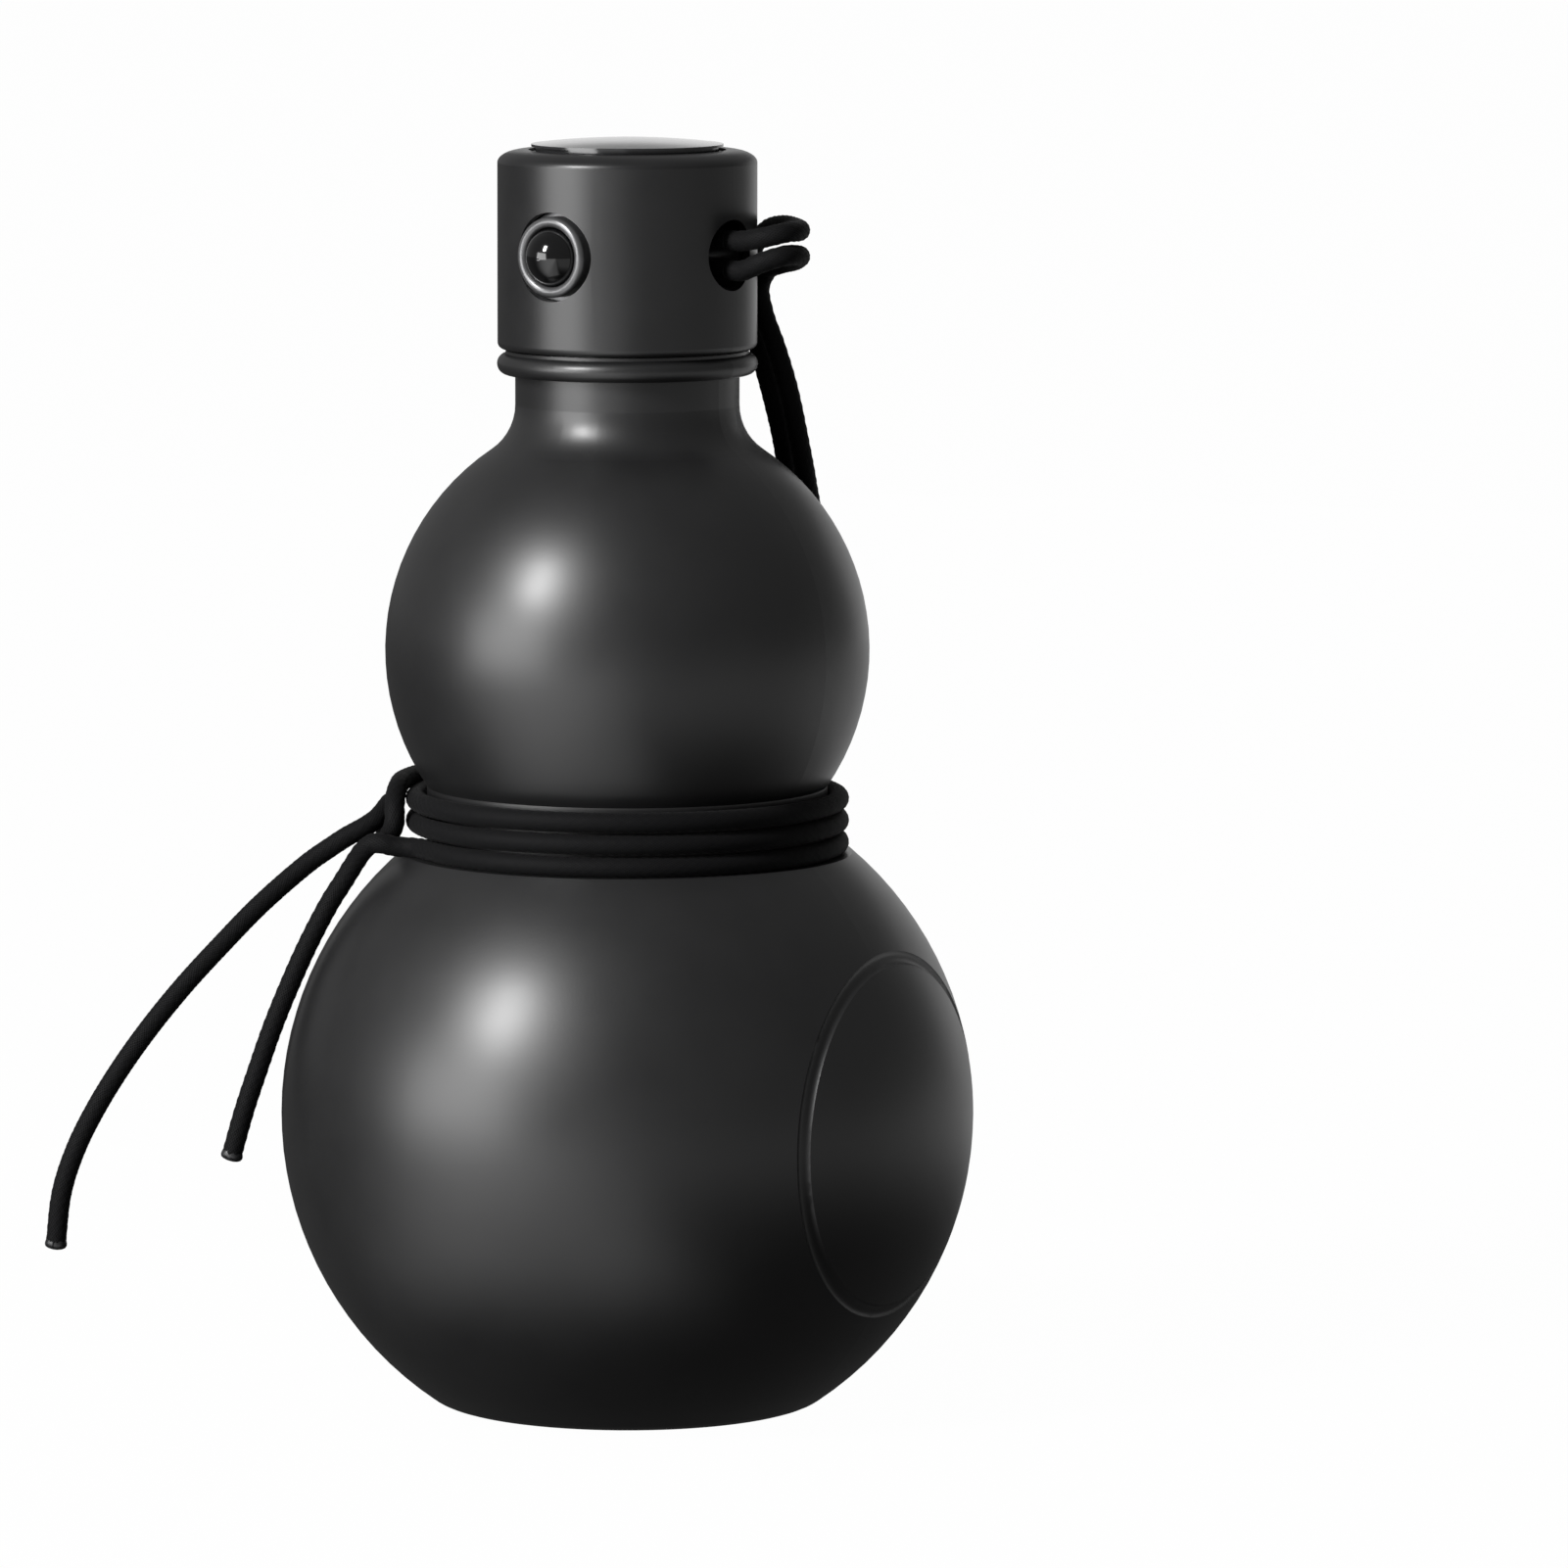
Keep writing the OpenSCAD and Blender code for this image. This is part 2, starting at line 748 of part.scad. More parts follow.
tail_short_points = [
    [-32.5, -11.7, 92.7], [-33.8, -9.4, 92.7], [-35.7, -8.1, 92.7], [-37.8, -7.7, 92.8],
    [-39.7, -7.6, 93.2], [-41.4, -6.9, 93.2], [-42.9, -5.8, 92], [-44.2, -4.6, 90.1],
    [-46.4, -3.9, 86.5],
    [-48.5, -4.2, 83.2], [-52, -5.2, 76.6], [-55.1, -6.6, 69.8], [-57.8, -7.8, 63.2],
    [-60.2, -9, 56.4], [-62.4, -10, 49.8], [-64.6, -10.5, 42]
];

// Height of the waist turns: level in front, one pitch lower after each pass of the back
function eased(x) = x * x * (3 - 2 * x);
step_angle = 60;
step_back = 90;
function level(a) =
    let (t = (step_back + step_angle / 2 - a) / 360, n = floor(t))
    n - 1 + eased(min(1, (t - n) * 360 / step_angle));
turn_r = waist_r + cord_r + 0.3;
turn_start = 36;
turn_end = -880;
turn_rings = 66;
back_r = turn_r + 2.75;
turn_points = [
    for (i = [0:turn_rings])
        let (a = turn_start + (turn_end - turn_start) * i / turn_rings)
        [turn_r * cos(a), turn_r * sin(a), turn_top - turn_pitch * level(a)]
];
back_points = [
    for (a = [64:12:172])
        [back_r * cos(a), back_r * sin(a), back_z]
];

// The least gap between the waist turns, measured on their points
one_turn = 360 / (turn_start - turn_end) * turn_rings;
turn_gap = min([
    for (i = [0:turn_rings], j = [0:turn_rings])
        if (j - i > one_turn / 2)
            norm(turn_points[i] - turn_points[j])
]) - cord_d;
echo(least_gap_between_waist_turns = turn_gap);

module cord_bight() {
    color("#111112")
    union() {
        for (side = [-1, 1])
            translate([cord_pin_x, 0, button_z + side * bight_r])
                rotate([0, 90, 0])
                    cylinder(h = bight_x - cord_pin_x, r = cord_r);
        translate([cord_pin_x, 0, button_z])
            rotate([90, 90, 0])
                rotate_extrude(angle = -180)
                    translate([bight_r, 0])
                        circle(cord_r);
    }
}

module laid(p, r = cord_r, sides = 8) {
    color("#111112")
    rotate([0, 0, cord_turn])
        tube(p, r, sides);
}
module cord_strand_outer() { laid(outer_points); }
module cord_strand_inner() { laid(inner_points); }
module cord_back_run() { laid(back_points); }
module cord_waist_turns() { laid(turn_points, cord_r, 6); }
module cord_knot() { laid(knot_points); }
module cord_tail_long() { laid(tail_long_points); }
module cord_tail_short() { laid(tail_short_points); }

outer_shell();
inner_liner();
base_plate();
foot_pad();
vacuum_getter();
vacuum_plug();
mouth_seal();
cap_shell();
cap_core();
spout();
spout_seal();
cap_tray();
tray_screws();
flip_lid();
lid_disc();
lid_plug();
lid_hinge_pin();
lid_spring();
button_bezel();
push_button();
button_spring();
button_guide();
latch_bar();
cord_pin();
cord_bight();
cord_strand_outer();
cord_strand_inner();
cord_back_run();
cord_waist_turns();
cord_knot();
cord_tail_long();
cord_tail_short();
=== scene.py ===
# %% [markdown]
# # A gourd water bottle
# The bottle is a double-walled steel flask with two round bulbs, black powder coat, a black
# screw cap with a flip lid and a cord from the cap to the waist. The exact solids come from
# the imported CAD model, so this lesson gives them their finishes, lays the cord as a real
# braid, winds the springs and sets up the studio. Every length is in metres.

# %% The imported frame
import json
import math

import bpy
import numpy as np
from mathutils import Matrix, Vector


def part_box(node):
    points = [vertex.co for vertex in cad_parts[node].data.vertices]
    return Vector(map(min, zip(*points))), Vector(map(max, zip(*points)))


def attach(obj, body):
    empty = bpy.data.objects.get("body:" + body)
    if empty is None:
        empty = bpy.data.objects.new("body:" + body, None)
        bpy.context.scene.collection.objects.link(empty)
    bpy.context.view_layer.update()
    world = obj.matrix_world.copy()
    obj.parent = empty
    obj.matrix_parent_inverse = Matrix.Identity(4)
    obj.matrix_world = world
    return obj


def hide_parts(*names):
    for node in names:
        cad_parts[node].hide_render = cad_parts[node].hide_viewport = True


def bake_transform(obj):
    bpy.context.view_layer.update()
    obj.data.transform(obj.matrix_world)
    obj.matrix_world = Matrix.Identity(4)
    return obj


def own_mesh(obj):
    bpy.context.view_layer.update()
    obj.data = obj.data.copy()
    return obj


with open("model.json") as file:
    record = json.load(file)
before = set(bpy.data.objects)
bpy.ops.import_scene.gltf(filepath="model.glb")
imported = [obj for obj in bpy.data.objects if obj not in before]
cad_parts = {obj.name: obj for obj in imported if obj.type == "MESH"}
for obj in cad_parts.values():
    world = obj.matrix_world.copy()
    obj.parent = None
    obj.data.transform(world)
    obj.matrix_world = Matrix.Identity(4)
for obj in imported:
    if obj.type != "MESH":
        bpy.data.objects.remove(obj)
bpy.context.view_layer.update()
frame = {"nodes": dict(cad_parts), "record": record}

MM = 0.001

# %% [markdown]
# ## The camera
# The photograph was taken with a long lens from a little above the waist. The bulbs' sizes
# and the ellipse of the lid give its distance and tilt. The bottle stands left of the
# picture's middle, so the lens is shifted and the camera isn't turned: a turn would change
# the outline.

# %% Camera
VIEW_AZIMUTH = math.radians(36)
VIEW_TILT = math.radians(6.8)
VIEW_DISTANCE = 1.62
AIM = Vector((0, 0, 0.1021))

right = Vector((math.cos(VIEW_AZIMUTH), math.sin(VIEW_AZIMUTH), 0))
level_in = Vector((-math.sin(VIEW_AZIMUTH), math.cos(VIEW_AZIMUTH), 0))
into = level_in * math.cos(VIEW_TILT) - Vector((0, 0, 1)) * math.sin(VIEW_TILT)
up = right.cross(into)

lens = bpy.data.cameras.new("photo_lens")
lens.lens = 227.7
lens.sensor_width = 36
lens.sensor_height = 36
lens.shift_x = 0.0999
lens.clip_end = 50
camera = bpy.data.objects.new("photo_camera", lens)
bpy.context.collection.objects.link(camera)
camera.location = AIM - into * VIEW_DISTANCE
camera.rotation_euler = into.to_track_quat("-Z", "Y").to_euler()
bpy.context.scene.camera = camera
bpy.context.scene.view_settings.view_transform = "Standard"
print("camera at", [round(v, 4) for v in camera.location])

# %% [markdown]
# ## Helpers for materials
# A material here is a Principled BSDF whose colour, roughness and bump come from nodes. The
# helper makes the shader and gives its fixed values straight to its sockets, because a value
# that reaches a socket through another node is lost when the model is exported.


# %% Material helper
def new_material(name, **values):
    """A material with one Principled BSDF, its fixed values set on the sockets."""
    material = bpy.data.materials.new(name)
    material.use_nodes = True
    shader = material.node_tree.nodes["Principled BSDF"]
    for socket, value in values.items():
        shader.inputs[socket.replace("_", " ")].default_value = value
    return material, shader


def node(tree, kind, at=(0, 0), **settings):
    made = tree.nodes.new(kind)
    made.location = at
    for key, value in settings.items():
        setattr(made, key, value)
    return made


# %% [markdown]
# ## The cord
# The cord is a round braid about 3 mm thick. Its middle hangs on a pin in the cap, both
# halves come out of the cap's side hole and run down the back. One half winds three times
# round the waist, the other goes round the back and loops over it as the knot. Both end in
# loose tails. A smooth curve with a bevel would be quick, but the braid shows in the light on
# the turns, so each half is a tube whose own surface carries the crossings of the strands.

# %% The cord's route
TURN = VIEW_AZIMUTH
CORD_D = 3.3 * MM


def from_view(points):
    """Points to the right, away from the viewer and up, in mm, as points in the frame."""
    c, s = math.cos(TURN), math.sin(TURN)
    return [((u * c - w * s) * MM, (u * s + w * c) * MM, z * MM) for u, w, z in points]


BIGHT_RADIUS = 2.4
BIGHT_X = 20.4
PIN_X = 16.2
BUTTON_Z = 189.3
BACK_Z = 102.0
LEAVE = (BIGHT_X * math.cos(TURN) + 0.1, -BIGHT_X * math.sin(TURN) - 0.1)

strand_outer = [
    (*LEAVE, BUTTON_Z - BIGHT_RADIUS), (18.4, -13.4, 186.9), (21.9, -15.8, 188.5),
    (25.4, -15.8, 189.5),
    (27.7, -11.5, 189.2), (27.1, -4.5, 188), (25, 2.5, 187), (22.8, 7.6, 185.6),
    (21.6, 10.4, 182.4), (22.4, 11, 178), (24.2, 10.8, 173), (26.3, 10.8, 166),
    (28.2, 11.8, 157), (29.5, 15, 150), (30.5, 22, 142), (28.5, 30, 132), (25.4, 33, 120),
    (22.6, 31.6, 109), (21.3, 29.8, 103.4), (24.4, 25.2, 101), (28, 20.3, 99.9),
]
strand_inner = [
    (*LEAVE, BUTTON_Z + BIGHT_RADIUS), (18.4, -13.4, 191.7), (21.9, -15.8, 192.4),
    (25.4, -15.8, 193.2),
    (27.7, -11.5, 193.2), (27.1, -4.5, 193.3), (25.2, 3, 193.2), (22.8, 9.5, 192),
    (20.4, 14, 188.4), (19.6, 15.8, 183), (20.3, 16, 177), (22, 15.6, 171),
    (23.9, 15.2, 164), (25.5, 16.2, 157), (26.6, 20, 149), (27, 27, 141), (24.5, 33.6, 131),
    (21.5, 36, 120), (18.8, 34.6, 109), (16.4, 33.5, BACK_Z),
]
knot = [
    (-36.96, 5.05, BACK_Z), (-37.3, 1.2, 101.8), (-37.7, -2.4, 101), (-37.9, -5.2, 99.1),
    (-37.9, -6.3, 96.6), (-38.6, -4.8, 94.6), (-39.4, -1.6, 93.5), (-39.5, 1.8, 94.4),
    (-39.1, 3.4, 96.9), (-38.7, 2, 98.8), (-39.3, -0.6, 98.4), (-40.7, -2.5, 96.9),
]
tail_long = [
    (-42.6, -3.2, 95.6), (-45.7, -3.4, 93.9), (-48.9, -3.4, 91.8), (-51.9, -3.6, 89.7),
    (-59.6, -5.6, 83.2), (-66, -7.6, 76.8), (-72, -9.2, 70.4), (-77.5, -10.8, 63.8),
    (-82.3, -12, 57.2), (-86.4, -13, 50.6), (-89.7, -13.5, 44), (-92, -14, 37),
    (-93.1, -14, 28),
]
tail_short = [
    (-33.8, -9.4, 92.7), (-35.7, -8.1, 92.7), (-37.8, -7.7, 92.8), (-39.7, -7.6, 93.2),
    (-41.4, -6.9, 93.2), (-42.9, -5.8, 92), (-44.2, -4.6, 90.1), (-46.4, -3.9, 86.5),
    (-48.5, -4.2, 83.2), (-52, -5.2, 76.6), (-55.1, -6.6, 69.8), (-57.8, -7.8, 63.2),
    (-60.2, -9, 56.4), (-62.4, -10, 49.8), (-64.6, -10.5, 42),
]


def waist_height(angle):
    """Level in front, one pitch lower after each pass of the back."""
    t = (90 - angle) / 360 + 1 / 12
    passes = math.floor(t)
    x = min(1, (t - passes) * 6)
    return 99.9 - 3.6 * (passes - 1 + x * x * (3 - 2 * x))


waist_turns = [
    (34.55 * math.cos(math.radians(a)), 34.55 * math.sin(math.radians(a)), waist_height(a))
    for a in (36 - 916 * i / 66 for i in range(1, 67))
]
back_run = [
    (37.3 * math.cos(math.radians(a)), 37.3 * math.sin(math.radians(a)), BACK_Z)
    for a in range(76, 161, 12)
]
route_front = from_view(strand_outer + waist_turns + tail_short)
route_back = from_view(strand_inner + back_run + knot + tail_long)
route_loop = [
    (x * MM, 0, z * MM)
    for x, z in [
        (BIGHT_X, BUTTON_Z - BIGHT_RADIUS),
        (PIN_X + 2, BUTTON_Z - BIGHT_RADIUS),
        *[
            (
                PIN_X - BIGHT_RADIUS * math.sin(math.radians(a)),
                BUTTON_Z - BIGHT_RADIUS * math.cos(math.radians(a)),
            )
            for a in range(0, 181, 30)
        ],
        (PIN_X + 2, BUTTON_Z + BIGHT_RADIUS),
        (BIGHT_X, BUTTON_Z + BIGHT_RADIUS),
    ]
]


# %% A smooth line through the points
def smooth_line(points, step):
    """Points an even step apart on a smooth curve through the given points."""
    p = np.array(points, float)
    p = np.vstack([2 * p[0] - p[1], p, 2 * p[-1] - p[-2]])
    fine = []
    for i in range(1, len(p) - 2):
        a, b, c, d = p[i - 1 : i + 3]
        t1 = np.linalg.norm(b - a) ** 0.5
        t2 = t1 + np.linalg.norm(c - b) ** 0.5
        t3 = t2 + np.linalg.norm(d - c) ** 0.5
        t = np.linspace(t1, t2, 24, endpoint=False)[:, None]
        ab = (t1 - t) / t1 * a + t / t1 * b
        bc = (t2 - t) / (t2 - t1) * b + (t - t1) / (t2 - t1) * c
        cd = (t3 - t) / (t3 - t2) * c + (t - t2) / (t3 - t2) * d
        abc = (t2 - t) / t2 * ab + t / t2 * bc
        bcd = (t3 - t) / (t3 - t1) * bc + (t - t1) / (t3 - t1) * cd
        fine.append((t2 - t) / (t2 - t1) * abc + (t - t1) / (t2 - t1) * bcd)
    fine = np.vstack([*fine, p[-2]])
    along = np.concatenate([[0], np.cumsum(np.linalg.norm(np.diff(fine, axis=0), axis=1))])
    count = max(2, int(along[-1] / step)) + 1
    even = np.linspace(0, along[-1], count)
    line = np.column_stack([np.interp(even, along, fine[:, k]) for k in range(3)])
    return line, float(along[-1])


# %% A braided tube
BRAID_STEP = 0.42 * MM
BRAID_SIDES = 32
STRANDS = 8
BRAID_PITCH = 1.9 * MM


def braided_tube(name, points, diameter=CORD_D, relief=0.055):
    """A closed tube along the points. Its surface bulges where the braid's strands cross."""
    line, length = smooth_line(points, BRAID_STEP)
    heading = np.gradient(line, axis=0)
    heading /= np.linalg.norm(heading, axis=1)[:, None]
    side = np.empty_like(line)
    first = np.cross(heading[0], [0.3, 0.2, 1])
    side[0] = first / np.linalg.norm(first)
    for i in range(1, len(line)):
        s = side[i - 1] - heading[i] * side[i - 1].dot(heading[i])
        side[i] = s / np.linalg.norm(s)
    across = np.cross(heading, side)
    along = np.linspace(0, length, len(line))[:, None]
    angle = np.linspace(0, 2 * math.pi, BRAID_SIDES, endpoint=False)[None, :]
    wave = 2 * math.pi * along / BRAID_PITCH / 2
    crossing = np.cos(STRANDS / 2 * angle + wave) * np.cos(STRANDS / 2 * angle - wave)
    radius = diameter / 2 * (1 - relief + relief * np.abs(crossing) ** 0.6 * 1.5)
    ring = side[:, None] * np.cos(angle)[..., None] + across[:, None] * np.sin(angle)[..., None]
    vertices = (line[:, None] + ring * radius[..., None]).reshape(-1, 3)
    rings = len(line)
    faces = [
        (
            i * BRAID_SIDES + k,
            (i + 1) * BRAID_SIDES + k,
            (i + 1) * BRAID_SIDES + (k + 1) % BRAID_SIDES,
            i * BRAID_SIDES + (k + 1) % BRAID_SIDES,
        )
        for i in range(rings - 1)
        for k in range(BRAID_SIDES)
    ]
    last = (rings - 1) * BRAID_SIDES
    faces.append(tuple(range(BRAID_SIDES)))
    faces.append(tuple(last + k for k in reversed(range(BRAID_SIDES))))
    mesh = bpy.data.meshes.new(name)
    mesh.from_pydata(vertices.tolist(), [], faces)
    uv = mesh.uv_layers.new(name="along_cord")
    around = np.empty((len(faces) - 2, 4, 2))
    i = np.repeat(np.arange(rings - 1), BRAID_SIDES)
    k = np.tile(np.arange(BRAID_SIDES), rings - 1)
    for corner, (di, dk) in enumerate([(0, 0), (1, 0), (1, 1), (0, 1)]):
        around[:, corner, 0] = (k + dk) / BRAID_SIDES
        around[:, corner, 1] = along[:, 0][i + di] / MM
    caps = np.zeros((2 * BRAID_SIDES, 2))
    uv.data.foreach_set("uv", np.vstack([around.reshape(-1, 2), caps]).ravel())
    mesh.polygons.foreach_set("use_smooth", [True] * (len(faces) - 2) + [False] * 2)
    mesh.update()
    piece = bpy.data.objects.new(name, mesh)
    bpy.context.collection.objects.link(piece)
    print(name, "length", round(length, 4), "triangles", 2 * len(faces))
    return piece, line, length


cord_front, line_front, length_front = braided_tube("cord_front", route_front)
cord_back, line_back, length_back = braided_tube("cord_back", route_back)
cord_loop, line_loop, length_loop = braided_tube("cord_loop", route_loop)

# %% [markdown]
# A cut end of this cord is melted with a flame so that it doesn't fray. The melt draws the
# strands in and leaves a hard rim a little wider than the cord. A short turned bead over
# each end is enough, set square to the cord's last points.


# %% Melted ends
def melted_end(name, line):
    """A small turned bead over the end of a cord."""
    tip = Vector(line[-1])
    out = (tip - Vector(line[-4])).normalized()
    profile = [
        (0, 0.55), (0.7, 0.5), (1.2, 0.36), (1.58, 0.12), (1.74, -0.25),
        (1.74, -0.6), (1.62, -1.0), (1.5, -1.3), (0, -1.3),
    ]
    sides = 28
    a = out.orthogonal().normalized()
    b = out.cross(a)
    vertices = []
    faces = []
    for j, (r, h) in enumerate(profile[1:-1]):
        for k in range(sides):
            t = 2 * math.pi * k / sides
            uneven = 1 + 0.035 * math.sin(2 * t + 1.1) + 0.02 * math.sin(5 * t + j)
            spot = tip + out * h * MM + (a * math.cos(t) + b * math.sin(t)) * r * MM * uneven
            vertices.append(spot)
    for j in range(len(profile) - 3):
        for k in range(sides):
            n = (k + 1) % sides
            faces.append((j * sides + k, (j + 1) * sides + k, (j + 1) * sides + n, j * sides + n))
    front, back = len(vertices), len(vertices) + 1
    vertices += [tip + out * profile[0][1] * MM, tip + out * profile[-1][1] * MM]
    low = (len(profile) - 3) * sides
    for k in range(sides):
        n = (k + 1) % sides
        faces += [(k, n, front), (low + n, low + k, back)]
    mesh = bpy.data.meshes.new(name)
    mesh.from_pydata([tuple(v) for v in vertices], [], faces)
    mesh.polygons.foreach_set("use_smooth", [True] * len(faces))
    mesh.update()
    piece = bpy.data.objects.new(name, mesh)
    bpy.context.collection.objects.link(piece)
    return piece


end_front = melted_end("cord_end_short", line_front)
end_back = melted_end("cord_end_long", line_back)

# %% [markdown]
# The cord's black yarn has a little sheen, and each strand is a bundle of filaments that
# run slantwise. The bulges are real, so the material only adds the filaments: two slanted
# waves on the tube's own map, one for each way the strands run.


# %% Cord material
def cord_material():
    material, shader = new_material(
        "black_braid",
        Specular_IOR_Level=0.08,
        Sheen_Weight=0.02,
        Sheen_Roughness=0.45,
    )
    tree = material.node_tree
    uv = node(tree, "ShaderNodeUVMap", (-1200, 0), uv_map="along_cord")
    split = node(tree, "ShaderNodeSeparateXYZ", (-1000, 0))
    tree.links.new(uv.outputs["UV"], split.inputs["Vector"])
    slants = []
    for sign in (1, -1):
        turn = node(tree, "ShaderNodeMath", (-800, 200 * sign), operation="MULTIPLY")
        turn.inputs[1].default_value = 2 * math.pi * STRANDS * 3
        tree.links.new(split.outputs["X"], turn.inputs[0])
        run = node(tree, "ShaderNodeMath", (-620, 200 * sign), operation="MULTIPLY_ADD")
        run.inputs[1].default_value = sign * 2 * math.pi * 3 / (BRAID_PITCH / MM)
        tree.links.new(split.outputs["Y"], run.inputs[0])
        tree.links.new(turn.outputs[0], run.inputs[2])
        wave = node(tree, "ShaderNodeMath", (-440, 200 * sign), operation="SINE")
        tree.links.new(run.outputs[0], wave.inputs[0])
        slants.append(wave)
    both = node(tree, "ShaderNodeMath", (-260, 0), operation="MAXIMUM")
    tree.links.new(slants[0].outputs[0], both.inputs[0])
    tree.links.new(slants[1].outputs[0], both.inputs[1])
    ramp = node(tree, "ShaderNodeValToRGB", (-80, 200))
    ramp.color_ramp.elements[0].color = (0.002, 0.002, 0.0022, 1)
    ramp.color_ramp.elements[1].color = (0.005, 0.005, 0.0054, 1)
    tree.links.new(both.outputs[0], ramp.inputs["Fac"])
    tree.links.new(ramp.outputs["Color"], shader.inputs["Base Color"])
    rough = node(tree, "ShaderNodeMapRange", (-80, -60))
    rough.inputs["To Min"].default_value = 0.8
    rough.inputs["To Max"].default_value = 0.6
    tree.links.new(both.outputs[0], rough.inputs["Value"])
    tree.links.new(rough.outputs["Result"], shader.inputs["Roughness"])
    bump = node(tree, "ShaderNodeBump", (-80, -300))
    bump.inputs["Strength"].default_value = 0.35
    bump.inputs["Distance"].default_value = 0.00008
    tree.links.new(both.outputs[0], bump.inputs["Height"])
    tree.links.new(bump.outputs["Normal"], shader.inputs["Normal"])
    return material


black_braid = cord_material()
for cord in (cord_front, cord_back, cord_loop):
    cord.data.materials.append(black_braid)

# %% [markdown]
# ## Shared surface effects
# Powder coat and moulded plastic both have a fine, even grain, at different sizes. One node
# group makes it: a coarse and a fine noise give a height for the bump and a small change of
# roughness, so that wide highlights look soft and slightly broken.


# %% Surface grain group
def surface_grain_group():
    group = bpy.data.node_groups.new("surface_grain", "ShaderNodeTree")
    face = group.interface
    for name, value in (("Grain per Metre", 1800.0), ("Roughness", 0.4), ("Roughness Spread", 0.05)):
        socket = face.new_socket(name=name, in_out="INPUT", socket_type="NodeSocketFloat")
        socket.default_value = value
    face.new_socket(name="Height", in_out="OUTPUT", socket_type="NodeSocketFloat")
    face.new_socket(name="Roughness", in_out="OUTPUT", socket_type="NodeSocketFloat")
    face.new_socket(name="Shade", in_out="OUTPUT", socket_type="NodeSocketFloat")
    start = node(group, "NodeGroupInput", (-900, 0))
    end = node(group, "NodeGroupOutput", (500, 0))
    place = node(group, "ShaderNodeTexCoord", (-900, -220))
    fine = node(group, "ShaderNodeTexNoise", (-600, 150))
    fine.inputs["Detail"].default_value = 2
    fine.inputs["Roughness"].default_value = 0.55
    group.links.new(place.outputs["Object"], fine.inputs["Vector"])
    group.links.new(start.outputs["Grain per Metre"], fine.inputs["Scale"])
    tenth = node(group, "ShaderNodeMath", (-760, -120), operation="MULTIPLY")
    tenth.inputs[1].default_value = 0.04
    group.links.new(start.outputs["Grain per Metre"], tenth.inputs[0])
    broad = node(group, "ShaderNodeTexNoise", (-600, -150))
    broad.inputs["Detail"].default_value = 3
    group.links.new(place.outputs["Object"], broad.inputs["Vector"])
    group.links.new(tenth.outputs[0], broad.inputs["Scale"])
    centred = node(group, "ShaderNodeMath", (-380, -150), operation="SUBTRACT")
    centred.inputs[1].default_value = 0.5
    group.links.new(broad.outputs["Fac"], centred.inputs[0])
    spread = node(group, "ShaderNodeMath", (-200, -150), operation="MULTIPLY")
    group.links.new(centred.outputs[0], spread.inputs[0])
    group.links.new(start.outputs["Roughness Spread"], spread.inputs[1])
    rough = node(group, "ShaderNodeMath", (0, -100), operation="ADD")
    group.links.new(spread.outputs[0], rough.inputs[0])
    group.links.new(start.outputs["Roughness"], rough.inputs[1])
    group.links.new(fine.outputs["Fac"], end.inputs["Height"])
    group.links.new(rough.outputs[0], end.inputs["Roughness"])
    group.links.new(broad.outputs["Fac"], end.inputs["Shade"])
    return group


surface_grain = surface_grain_group()


def grained(name, dark, light, roughness, spread, per_metre, depth, strength=0.4, **values):
    """A material whose colour, roughness and bump come from the surface grain."""
    material, shader = new_material(name, **values)
    tree = material.node_tree
    grain = node(tree, "ShaderNodeGroup", (-600, 0), node_tree=surface_grain)
    grain.inputs["Grain per Metre"].default_value = per_metre
    grain.inputs["Roughness"].default_value = roughness
    grain.inputs["Roughness Spread"].default_value = spread
    ramp = node(tree, "ShaderNodeValToRGB", (-350, 200))
    ramp.color_ramp.elements[0].position = 0.3
    ramp.color_ramp.elements[1].position = 0.7
    ramp.color_ramp.elements[0].color = (*dark, 1)
    ramp.color_ramp.elements[1].color = (*light, 1)
    bump = node(tree, "ShaderNodeBump", (-350, -200))
    bump.inputs["Strength"].default_value = strength
    bump.inputs["Distance"].default_value = depth
    tree.links.new(grain.outputs["Shade"], ramp.inputs["Fac"])
    tree.links.new(ramp.outputs["Color"], shader.inputs["Base Color"])
    tree.links.new(grain.outputs["Roughness"], shader.inputs["Roughness"])
    tree.links.new(grain.outputs["Height"], bump.inputs["Height"])
    tree.links.new(bump.outputs["Normal"], shader.inputs["Normal"])
    return material


# %% [markdown]
# ## Finishes
# The shell's powder coat is satin black: its lights are wide and soft but have a bright
# heart. The cap is moulded in a black plastic close to it, the lid's disc is a little
# glossier, the ring round the button is satin grey and the button is polished black. Steel,
# silicone and rubber are inside or underneath.

